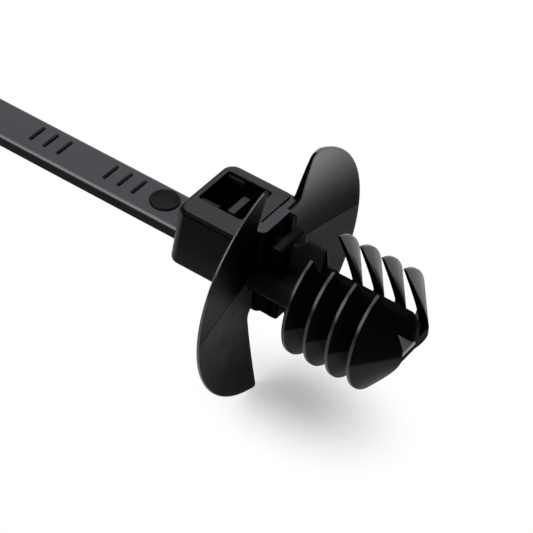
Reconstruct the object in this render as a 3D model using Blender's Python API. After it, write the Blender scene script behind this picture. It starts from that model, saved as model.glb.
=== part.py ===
"""A one-piece cable tie with a fir tree fixing at its head.

Every dimension is in millimetres. X runs along the tie from the tail to the tip of the fir tree,
Y runs across it and Z is up. Shapes are built round the axis of the fir tree and then moved so
that the middle of the footprint is the origin and the lowest point lies at Z = 0.
"""

import math

import bmesh
import bpy

NODE_NAME = "cable_tie"
METRES_PER_MM = 0.001

# Strap
STRAP_WIDTH = 4.6
STRAP_THICKNESS = 1.3
STRAP_TOP = 1.0
STRAP_EDGE_RADIUS = 0.3
STRAP_LENGTH = 160.0
STRAP_ROOT_OVERLAP = 0.6
TAIL_TAPER_LENGTH = 16.0
TAIL_TIP_WIDTH = 2.8
TAIL_ROUND_LENGTH = 1.0
PIN_MARK_X = -13.9
PIN_MARK_Y = 0.35
PIN_MARK_RADIUS = 1.5
PIN_MARK_HEIGHT = 0.14

# Plain tick bars on the strap
TICK_GROUP_STARTS = (-16.8, -25.9)
TICKS_PER_GROUP = 3
TICK_PITCH = 1.7
TICK_WIDTH = 0.35
TICK_LENGTH = 2.2
TICK_HEIGHT = 0.12
TICK_Y = 0.3

# Teeth under the strap
TOOTH_PITCH = 1.15
TOOTH_DEPTH = 0.45
TOOTH_BAND_WIDTH = 3.1
TOOTH_STEEP_RUN = 0.2
TOOTH_COUNT = 102
TOOTH_START_GAP = 14.0

# Grip bars on the tail
GRIP_BAR_COUNT = 6
GRIP_BAR_PITCH = 1.8
GRIP_BAR_LENGTH = 0.8
GRIP_BAR_WIDTH = 2.0
GRIP_BAR_HEIGHT = 0.22
GRIP_BAR_END_GAP = 4.5

# Head
HEAD_REAR = -9.35
HEAD_FRONT = -2.17
HEAD_HALF_WIDTH = 4.25
HEAD_TOP = 5.75
HEAD_BOTTOM = -1.0
HEAD_REAR_CORNER_RADIUS = 1.2
HEAD_FRONT_CORNER_RADIUS = 0.6
HEAD_EDGE_RADIUS = 0.5
HEAD_REAR_FLARE = 0.75
HEAD_SIDE_FLARE = 0.15

# Strap slot through the head
SLOT_REAR = -8.5
SLOT_FRONT = -3.7
SLOT_Y_LOW = -1.75
SLOT_Y_HIGH = 3.0

# Pawl in the slot
PAWL_CENTRE_Y = 0.6
PAWL_WIDTH = 2.6
PAWL_TIP_TOP = 4.85
PAWL_TIP_REAR = -6.0
PAWL_TIP_FRONT = -5.2
PAWL_HINGE_BOTTOM = 0.1
PAWL_HINGE_THICKNESS = 0.7
PAWL_WALL_OVERLAP = 0.3
PAWL_TOOTH_COUNT = 3
PAWL_TOOTH_PITCH = 0.95
PAWL_TOOTH_DEPTH = 0.4
PAWL_TOOTH_RUN = 0.2
PAWL_HINGE_LENGTH = 1.0
PAWL_HINGE_RISE = 0.5
PAWL_HEEL_SETBACK = 0.6

# Dish of two wings
DISH_RADIUS = 12.7
DISH_RIM_X = 0.0
DISH_RIM_THICKNESS = 0.28
DISH_ROOT_RADIUS = 3.0
DISH_ROOT_X = -1.75
DISH_ROOT_THICKNESS = 1.0
DISH_CURVE_POWER = 1.25
DISH_CURVE_STEPS = 6
DISH_SEGMENTS = 96
TOP_GAP_Y_LOW = -2.9
TOP_GAP_Y_HIGH = 4.0
TOP_GAP_ROOT = 5.2
TOP_WING_CORNER_RADIUS = 0.8
BOTTOM_GAP_HALF_WIDTH = 3.0
BOTTOM_GAP_ROOT = 3.6
BOTTOM_WING_CORNER_RADIUS = 0.3
GAP_ROOT_RADIUS = 1.0
WING_ROOT_FRONT = -1.45
WING_ROOT_Y_LOW = -2.9
WING_ROOT_Y_HIGH = 4.15
WING_ROOT_TOP = 5.7

# Neck between the head and the fir tree
NECK_CAP_FRONT = -0.9
NECK_CAP_HALF_WIDTH = 2.1
NECK_CAP_CORNER_RADIUS = 0.65
NECK_CAP_TOP = 5.7
CHEEK_FRONT = -0.4
CHEEK_THICKNESS = 0.6
CHEEK_TOP = 5.6
LEDGE_REAR = -0.1
LEDGE_FRONT = 1.05
LEDGE_TOP = 4.45
NECK_HALF_WIDTH = 1.85
RECESS_FLOOR = 3.0
NECK_BOTTOM = -4.0
NECK_EDGE_RADIUS = 0.5
RIB_HALF_WIDTH = 3.1
RIB_HALF_HEIGHT = 1.2
RIB_EDGE_RADIUS = 1.1
RIB_FRONT = 4.2

# Thin shank that joins the neck to the fir tree
SHANK_FRONT = 4.5
SHANK_HALF_THICKNESS = 0.6
SHANK_EDGE_HALF_THICKNESS = 0.2
SHANK_TAPER_START = 3.2
SHANK_HALF_HEIGHT = 5.4
SHANK_REAR_HALF_HEIGHT = 4.2
SHANK_RISE_START = 1.5
SHANK_RISE_END = 2.5

# Fir tree
FIN_COUNT = 4
FIRST_FIN_X = 4.2
FIN_PITCH = 2.36
FIN_RADIUS = 6.05
FIN_RIM_LAND = 0.35
FIN_FRONT_SLOPE = 0.778
FIN_REAR_SLOPE = 0.577
FIN_ROOT_RADIUS = 1.7
FIN_GAP_HALF_WIDTH = 2.12
FIN_SEGMENTS = 72
TIP_X = 14.65
WEB_HALF_THICKNESS = 0.55
WEB_HALF_HEIGHT = 3.2
WEB_FRONT = 13.85
WEB_FOOT_FRONT = 13.4
PLATE_HALF_THICKNESS = 0.6
PLATE_HALF_WIDTH = 2.2

# How far one shape runs into its neighbour, or a cutter past the surface
OVERLAP = 0.4
CUT_MARGIN = 1.0
LEAST_RADIUS = 0.05
ARC_STEPS = 4
CIRCLE_STEPS = 32
SMOOTH_ANGLE = math.radians(30)
PLASTIC_COLOUR = (0.012, 0.012, 0.013, 1.0)
PLASTIC_ROUGHNESS = 0.42


def clear_scene():
    """Remove every object of the starting scene."""
    for obj in list(bpy.data.objects):
        bpy.data.objects.remove(obj, do_unlink=True)


def solid(name, points, faces):
    """Make an object from points in millimetres and faces, with outward normals."""
    mesh = bpy.data.meshes.new(name)
    mesh.from_pydata(points, [], faces)
    shape = bmesh.new()
    shape.from_mesh(mesh)
    bmesh.ops.recalc_face_normals(shape, faces=shape.faces)
    shape.to_mesh(mesh)
    shape.free()
    obj = bpy.data.objects.new(name, mesh)
    bpy.context.scene.collection.objects.link(obj)
    return obj


def loft(name, rings):
    """Join rings of equal length into a closed solid with a cap at each end."""
    size = len(rings[0])
    points = [point for ring in rings for point in ring]
    faces = [tuple(range(size)), tuple(range(len(points) - size, len(points)))]
    for row in range(len(rings) - 1):
        for i in range(size):
            near, far = row * size + i, row * size + (i + 1) % size
            faces.append((near, far, far + size, near + size))
    return solid(name, points, faces)


def prism_y(name, outline, low, high):
    """Extrude an (x, z) outline from y = low to y = high."""
    return loft(name, [[(x, y, z) for x, z in outline] for y in (low, high)])


def prism_z(name, outline, low, high):
    """Extrude an (x, y) outline from z = low to z = high."""
    return loft(name, [[(x, y, z) for x, y in outline] for z in (low, high)])


def prism_x(name, outline, low, high):
    """Extrude a (y, z) outline from x = low to x = high."""
    return loft(name, [[(x, y, z) for y, z in outline] for x in (low, high)])


def box(name, x_range, y_range, z_range):
    """Make a box from its three ranges."""
    (y_low, y_high), (z_low, z_high) = y_range, z_range
    outline = [(y_low, z_low), (y_high, z_low), (y_high, z_high), (y_low, z_high)]
    return prism_x(name, outline, *x_range)


def revolve(name, profile, segments):
    """Turn an (x, radius) profile round the X axis into a closed ring."""
    size = len(profile)
    points, faces = [], []
    for step in range(segments):
        angle = 2 * math.pi * step / segments
        points += [(x, r * math.cos(angle), r * math.sin(angle)) for x, r in profile]
    for step in range(segments):
        here, there = step * size, (step + 1) % segments * size
        for i in range(size):
            j = (i + 1) % size
            faces.append((here + i, here + j, there + j, there + i))
    return solid(name, points, faces)


def arc(centre, radius, start, steps=ARC_STEPS):
    """Give the points of a quarter turn from the start angle in degrees."""
    angles = [math.radians(start + 90 * i / steps) for i in range(steps + 1)]
    return [(centre[0] + radius * math.cos(a), centre[1] + radius * math.sin(a)) for a in angles]


def rounded_rectangle(low, high, radii, steps=ARC_STEPS):
    """Outline a rectangle whose corners, from high-high anticlockwise, have the four radii."""
    outline = []
    for start, (u, v), radius in zip(
        (0, 90, 180, 270), ((1, 1), (-1, 1), (-1, -1), (1, -1)), radii
    ):
        corner = (high[0] if u > 0 else low[0], high[1] if v > 0 else low[1])
        outline += arc((corner[0] - u * radius, corner[1] - v * radius), radius, start, steps)
    return outline


def combine(target, tools, operation):
    """Apply a Boolean of each tool to the target and remove the tool."""
    for tool in tools:
        modifier = target.modifiers.new(operation.title(), "BOOLEAN")
        modifier.operation = operation
        modifier.solver = "EXACT"
        modifier.object = tool
        graph = bpy.context.evaluated_depsgraph_get()
        mesh = bpy.data.meshes.new_from_object(target.evaluated_get(graph))
        target.modifiers.clear()
        target.data = mesh
        bpy.data.objects.remove(tool, do_unlink=True)
    return target


def strap_ring(x, half_width):
    """Outline the strap's section at one place along it."""
    low = (-half_width, STRAP_TOP - STRAP_THICKNESS)
    high = (half_width, STRAP_TOP)
    section = rounded_rectangle(low, high, [STRAP_EDGE_RADIUS] * 4, 2)
    return [(x, y, z) for y, z in section]


def strap_blank():
    """Build the plain strap with its tapered and rounded tail."""
    tail_end = HEAD_REAR - STRAP_LENGTH
    taper_start = tail_end + TAIL_TAPER_LENGTH
    full, tip = STRAP_WIDTH / 2, TAIL_TIP_WIDTH / 2
    rings = [strap_ring(HEAD_REAR + STRAP_ROOT_OVERLAP, full), strap_ring(taper_start, full)]
    for step in range(ARC_STEPS + 1):
        angle = math.pi / 2 * step / ARC_STEPS
        x = tail_end + TAIL_ROUND_LENGTH * (1 - math.sin(angle))
        half_width = tip - TAIL_ROUND_LENGTH * (1 - math.cos(angle))
        rings.append(strap_ring(x, half_width))
    return loft("strap", rings)


def teeth_cutter():
    """Outline the spaces between the teeth as one saw-edged bar below the strap."""
    underside = STRAP_TOP - STRAP_THICKNESS
    start = HEAD_REAR - TOOTH_START_GAP
    edge = []
    for tooth in range(TOOTH_COUNT):
        x = start - tooth * TOOTH_PITCH
        edge += [(x, underside), (x - TOOTH_STEEP_RUN, underside + TOOTH_DEPTH)]
    end = start - TOOTH_COUNT * TOOTH_PITCH
    edge += [(end, underside), (end, underside - CUT_MARGIN), (start, underside - CUT_MARGIN)]
    return prism_y("teeth", edge, -TOOTH_BAND_WIDTH / 2, TOOTH_BAND_WIDTH / 2)


def pin_mark():
    """Build the low round boss on the strap beside the head."""
    angles = [2 * math.pi * i / CIRCLE_STEPS for i in range(CIRCLE_STEPS)]
    radius = PIN_MARK_RADIUS
    circle = [
        (PIN_MARK_X + radius * math.cos(a), PIN_MARK_Y + radius * math.sin(a)) for a in angles
    ]
    heights = (STRAP_TOP - OVERLAP, STRAP_TOP + PIN_MARK_HEIGHT)
    return loft("pin_mark", [[(x, y, z) for x, y in circle] for z in heights])


def tick_bars():
    """Build the plain upright bars moulded on top of the strap in two groups."""
    z_range = (STRAP_TOP - OVERLAP, STRAP_TOP + TICK_HEIGHT)
    half = TICK_LENGTH / 2
    bars = []
    for start in TICK_GROUP_STARTS:
        for i in range(TICKS_PER_GROUP):
            x = start - i * TICK_PITCH
            bars.append(box("tick", (x - TICK_WIDTH, x), (TICK_Y - half, TICK_Y + half), z_range))
    return bars


def grip_bars():
    """Build the low bars across the top of the tail."""
    first = HEAD_REAR - STRAP_LENGTH + GRIP_BAR_END_GAP
    bars = []
    for i in range(GRIP_BAR_COUNT):
        x = first + i * GRIP_BAR_PITCH
        low, high = STRAP_TOP - OVERLAP, STRAP_TOP + GRIP_BAR_HEIGHT
        middle = x + GRIP_BAR_LENGTH / 2
        outline = [(x, low), (x + GRIP_BAR_LENGTH, low), (middle, high)]
        bars.append(prism_y("grip", outline, -GRIP_BAR_WIDTH / 2, GRIP_BAR_WIDTH / 2))
    return bars


def strap():
    """Build the strap with its teeth, round mark, tick bars and grip bars."""
    body = combine(strap_blank(), [teeth_cutter()], "DIFFERENCE")
    return combine(body, [pin_mark()] + tick_bars() + grip_bars(), "UNION")


def head_ring(z, inset):
    """Outline the head at one height, flared towards its foot and drawn in at its edges."""
    rear = HEAD_REAR_CORNER_RADIUS - inset
    front = max(HEAD_FRONT_CORNER_RADIUS - inset, LEAST_RADIUS)
    share = (HEAD_TOP - z) / (HEAD_TOP - HEAD_BOTTOM)
    half_width = HEAD_HALF_WIDTH + HEAD_SIDE_FLARE * share - inset
    low = (HEAD_REAR - HEAD_REAR_FLARE * share + inset, -half_width)
    high = (HEAD_FRONT, half_width)
    return [(x, y, z) for x, y in rounded_rectangle(low, high, [front, rear, rear, front])]


def head():
    """Build the head as a block with rounded corners and edges."""
    steps = [math.pi / 2 * i / ARC_STEPS for i in range(ARC_STEPS + 1)]
    radius = HEAD_EDGE_RADIUS
    edge = [(radius * (1 - math.sin(a)), radius * (1 - math.cos(a))) for a in steps]
    rings = [head_ring(HEAD_BOTTOM + rise, inset) for inset, rise in edge]
    rings += [head_ring(HEAD_TOP - rise, inset) for inset, rise in reversed(edge)]
    return loft("head", rings)


def slot_cutter():
    """Build the opening that the strap passes through."""
    z_range = (HEAD_BOTTOM - CUT_MARGIN, HEAD_TOP + CUT_MARGIN)
    return box("slot", (SLOT_REAR, SLOT_FRONT), (SLOT_Y_LOW, SLOT_Y_HIGH), z_range)


def pawl():
    """Build the hinged finger whose teeth hold the strap."""
    wall = SLOT_REAR - PAWL_WALL_OVERLAP
    hinge_top = PAWL_HINGE_BOTTOM + PAWL_HINGE_THICKNESS
    outline = [
        (wall, PAWL_HINGE_BOTTOM),
        (wall, hinge_top),
        (SLOT_REAR + PAWL_HINGE_LENGTH, hinge_top + PAWL_HINGE_RISE),
        (PAWL_TIP_REAR, PAWL_TIP_TOP),
        (PAWL_TIP_FRONT, PAWL_TIP_TOP),
    ]
    z = PAWL_TIP_TOP
    for _ in range(PAWL_TOOTH_COUNT):
        z -= PAWL_TOOTH_PITCH
        root = (PAWL_TIP_FRONT - PAWL_TOOTH_DEPTH, z + PAWL_TOOTH_RUN)
        outline += [root, (PAWL_TIP_FRONT, z)]
    outline.append((PAWL_TIP_REAR - PAWL_HEEL_SETBACK, PAWL_HINGE_BOTTOM))
    half = PAWL_WIDTH / 2
    return prism_y("pawl", outline, PAWL_CENTRE_Y - half, PAWL_CENTRE_Y + half)


def dish_profile():
    """Outline the dish's section, from its root out along the hollow side and back."""
    hollow, back = [], []
    for step in range(DISH_CURVE_STEPS + 1):
        share = step / DISH_CURVE_STEPS
        radius = DISH_ROOT_RADIUS + share * (DISH_RADIUS - DISH_ROOT_RADIUS)
        x = DISH_ROOT_X + (DISH_RIM_X - DISH_ROOT_X) * share**DISH_CURVE_POWER
        thickness = DISH_ROOT_THICKNESS + (DISH_RIM_THICKNESS - DISH_ROOT_THICKNESS) * share
        hollow.append((x, radius))
        back.append((x - thickness, radius))
    return hollow + back[::-1]


def wing_corner(edge, corner):
    """Round the corner between the rim and a gap's side, which lies this far from the middle."""
    y = edge + corner
    z = math.sqrt((DISH_RADIUS - corner) ** 2 - y**2)
    rim = math.atan2(z, y)
    turns = [rim + (math.pi - rim) * i / ARC_STEPS for i in range(ARC_STEPS + 1)]
    return [(y + corner * math.cos(a), z + corner * math.sin(a)) for a in turns]


def gap_cutter(name, y_low, y_high, root, corner, side):
    """Build a gap between the wings, from its rounded root out past their rounded corners."""
    low_corner = [(-y, z) for y, z in wing_corner(-y_low, corner)]
    high_corner = wing_corner(y_high, corner)
    outside = 1 + CUT_MARGIN / DISH_RADIUS
    outline = arc((y_low + GAP_ROOT_RADIUS, root + GAP_ROOT_RADIUS), GAP_ROOT_RADIUS, 180)
    outline += arc((y_high - GAP_ROOT_RADIUS, root + GAP_ROOT_RADIUS), GAP_ROOT_RADIUS, 270)
    outline += reversed(high_corner)
    outline += [(y * outside, z * outside) for y, z in (high_corner[0], low_corner[0])]
    outline += low_corner
    x_range = (DISH_ROOT_X - 2 * CUT_MARGIN, DISH_RIM_X + CUT_MARGIN)
    return prism_x(name, [(y, side * z) for y, z in outline], *x_range)


def dish():
    """Build the two wings of the dish."""
    top = gap_cutter(
        "top_gap", TOP_GAP_Y_LOW, TOP_GAP_Y_HIGH, TOP_GAP_ROOT, TOP_WING_CORNER_RADIUS, 1
    )
    half = BOTTOM_GAP_HALF_WIDTH
    bottom = gap_cutter("bottom_gap", -half, half, BOTTOM_GAP_ROOT, BOTTOM_WING_CORNER_RADIUS, -1)
    disc = revolve("dish", dish_profile(), DISH_SEGMENTS)
    return combine(disc, [top, bottom], "DIFFERENCE")


def neck():
    """Build the blocks and the rib between the head and the fir tree."""
    rear = HEAD_FRONT - 2 * OVERLAP
    full = (-NECK_HALF_WIDTH, NECK_HALF_WIDTH)
    cap = rounded_rectangle(
        (rear, -NECK_CAP_HALF_WIDTH),
        (NECK_CAP_FRONT, NECK_CAP_HALF_WIDTH),
        [LEAST_RADIUS, LEAST_RADIUS, LEAST_RADIUS, NECK_CAP_CORNER_RADIUS],
    )
    cheek_y = (NECK_CAP_HALF_WIDTH - CHEEK_THICKNESS, NECK_CAP_HALF_WIDTH)
    root_y = (WING_ROOT_Y_LOW, WING_ROOT_Y_HIGH)
    ledge = rounded_rectangle(
        (LEDGE_REAR, NECK_BOTTOM),
        (LEDGE_FRONT, LEDGE_TOP),
        [NECK_EDGE_RADIUS, LEAST_RADIUS, LEAST_RADIUS, NECK_EDGE_RADIUS],
    )
    low, high = (-RIB_HALF_WIDTH, -RIB_HALF_HEIGHT), (RIB_HALF_WIDTH, RIB_HALF_HEIGHT)
    section = rounded_rectangle(low, high, [RIB_EDGE_RADIUS] * 4)
    return [
        box("wing_root", (rear, WING_ROOT_FRONT), root_y, (HEAD_BOTTOM, WING_ROOT_TOP)),
        prism_z("cap", cap, NECK_BOTTOM, NECK_CAP_TOP),
        box("cheek", (rear, CHEEK_FRONT), cheek_y, (-RIB_HALF_HEIGHT, CHEEK_TOP)),
        box("core", (rear, LEDGE_REAR + OVERLAP), full, (NECK_BOTTOM, RECESS_FLOOR)),
        prism_y("ledge", ledge, *full),
        prism_x("rib", section, rear, RIB_FRONT),
    ]


def shank_ring(x, half_height):
    """Outline the shank's section, thinned towards its upper and lower edges."""
    thick, thin = SHANK_HALF_THICKNESS, SHANK_EDGE_HALF_THICKNESS
    upper = [(thick, SHANK_TAPER_START), (thin, half_height)]
    right = [(y, -z) for y, z in reversed(upper)] + upper
    left = [(-y, z) for y, z in reversed(right)]
    return [(x, y, z) for y, z in right + left]


def shank():
    """Build the upright shank, which rises behind the first fins."""
    rear = HEAD_FRONT - 2 * OVERLAP
    stations = [
        (rear, SHANK_REAR_HALF_HEIGHT),
        (SHANK_RISE_START, SHANK_REAR_HALF_HEIGHT),
        (SHANK_RISE_END, SHANK_HALF_HEIGHT),
        (SHANK_FRONT, SHANK_HALF_HEIGHT),
    ]
    return loft("shank", [shank_ring(x, half_height) for x, half_height in stations])


def fin_ring(index):
    """Build one pair of swept fins with the gap between them."""
    rear = FIRST_FIN_X + index * FIN_PITCH
    front = rear + FIN_RIM_LAND
    reach = FIN_RADIUS - FIN_ROOT_RADIUS
    profile = [
        (rear, FIN_RADIUS),
        (front, FIN_RADIUS),
        (front + FIN_FRONT_SLOPE * reach, FIN_ROOT_RADIUS),
        (rear + FIN_REAR_SLOPE * reach, FIN_ROOT_RADIUS),
    ]
    ring = revolve("fins", profile, FIN_SEGMENTS)
    gap_x = (rear - CUT_MARGIN, front + FIN_RADIUS)
    gap_y = (-FIN_GAP_HALF_WIDTH, FIN_GAP_HALF_WIDTH)
    reach_z = FIN_RADIUS + CUT_MARGIN
    return combine(ring, [box("fin_gap", gap_x, gap_y, (-reach_z, reach_z))], "DIFFERENCE")


def web():
    """Build the upright web that carries the fins, whose upper front slopes as they do."""
    rear = SHANK_FRONT - OVERLAP
    point = WEB_FRONT + FIN_FRONT_SLOPE * WEB_HALF_HEIGHT
    outline = [(rear, -WEB_HALF_HEIGHT), (WEB_FOOT_FRONT, -WEB_HALF_HEIGHT)]
    outline += [(WEB_FOOT_FRONT, 0.0), (point, 0.0)]
    outline += [(WEB_FRONT, WEB_HALF_HEIGHT), (rear, WEB_HALF_HEIGHT)]
    return prism_y("web", outline, -WEB_HALF_THICKNESS, WEB_HALF_THICKNESS)


def fir_tree():
    """Build the web, the level plate and the fins."""
    plate = box(
        "plate",
        (SHANK_FRONT - OVERLAP, TIP_X),
        (-PLATE_HALF_WIDTH, PLATE_HALF_WIDTH),
        (-PLATE_HALF_THICKNESS, PLATE_HALF_THICKNESS),
    )
    nose = box(
        "nose",
        (TIP_X, TIP_X + CUT_MARGIN + FIN_RADIUS),
        (-FIN_RADIUS, FIN_RADIUS),
        (-FIN_RADIUS, FIN_RADIUS),
    )
    fins = [fin_ring(index) for index in range(FIN_COUNT)]
    tree = combine(web(), [plate] + fins, "UNION")
    return combine(tree, [nose], "DIFFERENCE")


def tie():
    """Join every region of the tie into one body."""
    body = combine(head(), [dish()] + neck() + [shank(), fir_tree(), strap()], "UNION")
    body = combine(body, [slot_cutter()], "DIFFERENCE")
    return combine(body, [pawl()], "UNION")


def plastic():
    """Make the black plastic of the whole tie."""
    material = bpy.data.materials.new("black_plastic")
    material.use_nodes = True
    shader = material.node_tree.nodes["Principled BSDF"]
    shader.inputs["Base Color"].default_value = PLASTIC_COLOUR
    shader.inputs["Roughness"].default_value = PLASTIC_ROUGHNESS
    return material


def finish(body):
    """Move the body to its frame in metres, shade it and give it its material."""
    tail_end = HEAD_REAR - STRAP_LENGTH
    wing_foot = max(z for _, z in wing_corner(BOTTOM_GAP_HALF_WIDTH, BOTTOM_WING_CORNER_RADIUS))
    offset = (-(TIP_X + tail_end) / 2, 0.0, wing_foot)
    for vertex in body.data.vertices:
        vertex.co = [METRES_PER_MM * (value + move) for value, move in zip(vertex.co, offset)]
    body.name = body.data.name = NODE_NAME
    body.data.materials.clear()
    body.data.materials.append(plastic())
    body.data.shade_smooth()
    body.data.set_sharp_from_angle(angle=SMOOTH_ANGLE)


def main():
    """Build the cable tie."""
    clear_scene()
    finish(tie())


main()
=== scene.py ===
"""Looks of a one-piece black cable tie with a fir tree fixing.

Sizes are in millimetres about the axis of the fir tree: X runs from the tail of the strap to the
tip of the fir tree, Y runs across the tie and Z is up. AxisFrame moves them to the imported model.
"""

import logging
import math
from dataclasses import dataclass, field
from enum import Enum
from typing import Dict, List, Optional, Sequence, Tuple, Union

import bmesh
import bpy
from mathutils import Matrix, Vector
from mathutils.geometry import delaunay_2d_cdt


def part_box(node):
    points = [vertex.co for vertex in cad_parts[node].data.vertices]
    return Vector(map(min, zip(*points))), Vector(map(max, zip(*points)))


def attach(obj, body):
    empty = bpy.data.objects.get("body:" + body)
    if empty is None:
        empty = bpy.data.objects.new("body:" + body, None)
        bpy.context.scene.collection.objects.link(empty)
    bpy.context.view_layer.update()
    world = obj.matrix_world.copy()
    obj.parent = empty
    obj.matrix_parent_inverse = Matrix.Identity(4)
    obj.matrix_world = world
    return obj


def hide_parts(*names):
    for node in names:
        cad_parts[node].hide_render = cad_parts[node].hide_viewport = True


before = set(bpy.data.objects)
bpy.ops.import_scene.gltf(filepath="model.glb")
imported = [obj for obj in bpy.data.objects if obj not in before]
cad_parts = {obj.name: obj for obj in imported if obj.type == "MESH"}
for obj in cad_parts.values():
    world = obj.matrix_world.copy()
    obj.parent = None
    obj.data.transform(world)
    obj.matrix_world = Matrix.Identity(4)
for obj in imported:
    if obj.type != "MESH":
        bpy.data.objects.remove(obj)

NODE = "cable_tie"
BODY = "root"
METRES_PER_MM = 0.001
LOG = logging.getLogger("cable_tie")

Point = Tuple[float, float, float]
Flat = Tuple[float, float]
Face = Tuple[int, ...]


# Shader graphs.


class Signal:
    """A shader socket that can stand in a Python expression."""

    def __init__(self, graph: "NodeGraph", socket: bpy.types.NodeSocket) -> None:
        """Hold the graph that new nodes are added to and the socket that carries the value."""
        self.graph = graph
        self.socket = socket

    def maths(self, operation: str, first: "Value", second: "Value") -> "Signal":
        """Add one Math node on two values."""
        return self.graph.node("ShaderNodeMath", {"operation": operation}, {0: first, 1: second})

    def __add__(self, other: "Value") -> "Signal":
        """Add a value."""
        return self.maths("ADD", self, other)

    def __radd__(self, other: "Value") -> "Signal":
        """Add to a value."""
        return self.maths("ADD", other, self)

    def __sub__(self, other: "Value") -> "Signal":
        """Take a value away."""
        return self.maths("SUBTRACT", self, other)

    def __rsub__(self, other: "Value") -> "Signal":
        """Take this from a value."""
        return self.maths("SUBTRACT", other, self)

    def __mul__(self, other: "Value") -> "Signal":
        """Multiply by a value."""
        return self.maths("MULTIPLY", self, other)

    def __rmul__(self, other: "Value") -> "Signal":
        """Multiply a value."""
        return self.maths("MULTIPLY", other, self)

    def __pow__(self, other: "Value") -> "Signal":
        """Raise to a power."""
        return self.maths("POWER", self, other)

    def __rpow__(self, other: "Value") -> "Signal":
        """Raise a value to this power."""
        return self.maths("POWER", other, self)

    def highest(self, other: "Value") -> "Signal":
        """Give the higher of this and another value."""
        return self.maths("MAXIMUM", self, other)

    def ramp(self, low: float, high: float) -> "Signal":
        """Rise smoothly from 0 to 1 as this goes from low to high.

        Args:
            low: The value at which the ramp leaves 0.
            high: The value at which it reaches 1, which may be below low.

        Returns:
            The ramp's value.
        """
        if high < low:
            return 1.0 - self.ramp(high, low)
        return self.graph.node(
            "ShaderNodeMapRange",
            {"interpolation_type": "SMOOTHSTEP"},
            {"Value": self, "From Min": low, "From Max": high},
        )


Value = Union[Signal, float]
Colour = Union[Signal, Point]


class NodeGraph:
    """The nodes of one material or world."""

    def __init__(self, tree: bpy.types.NodeTree) -> None:
        """Empty the node tree that is to be filled."""
        self.tree = tree
        tree.nodes.clear()

    def node(
        self,
        kind: str,
        settings: Optional[Dict[str, object]] = None,
        inputs: Optional[Dict[Union[int, str], object]] = None,
        output: Union[int, str] = 0,
    ) -> Signal:
        """Add a node, set it up and join its inputs.

        Args:
            kind: The node's type.
            settings: Its properties, which are set first.
            inputs: Values or signals by socket name or number.
            output: The output socket to return.

        Returns:
            The chosen output.
        """
        node = self.tree.nodes.new(kind)
        for name, setting in (settings or {}).items():
            setattr(node, name, setting)
        for name, value in (inputs or {}).items():
            if isinstance(value, Signal):
                self.tree.links.new(value.socket, node.inputs[name])
            else:
                node.inputs[name].default_value = value
        return Signal(self, node.outputs[output])

    def finish(self, kind: str, surface: Signal) -> None:
        """Join a shader to the tree's output node of this kind."""
        end = self.tree.nodes.new(kind)
        self.tree.links.new(surface.socket, end.inputs["Surface"])

    def place(self) -> Signal:
        """Give the point being shaded, in the object's own metres."""
        return self.node("ShaderNodeTexCoord", output="Object")

    def noise(self, place: Signal, grain_mm: float, detail: float = 2.0) -> Signal:
        """Give noise from 0 to 1 with grains of a real size and some finer octaves."""
        inputs = {"Vector": place, "Scale": 1.0 / (grain_mm * METRES_PER_MM), "Detail": detail}
        return self.node("ShaderNodeTexNoise", None, inputs)

    def shade(self, dark: Colour, light: Colour, factor: Value) -> Signal:
        """Mix two colours.

        Args:
            dark: The colour at factor 0.
            light: The colour at factor 1.
            factor: The share of the second colour.

        Returns:
            The mixed colour.
        """
        ends = [each if isinstance(each, Signal) else (*each, 1.0) for each in (dark, light)]
        return self.node(
            "ShaderNodeMix", {"data_type": "RGBA"}, {0: factor, 6: ends[0], 7: ends[1]}, output=2
        )


# Finishes.


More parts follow.
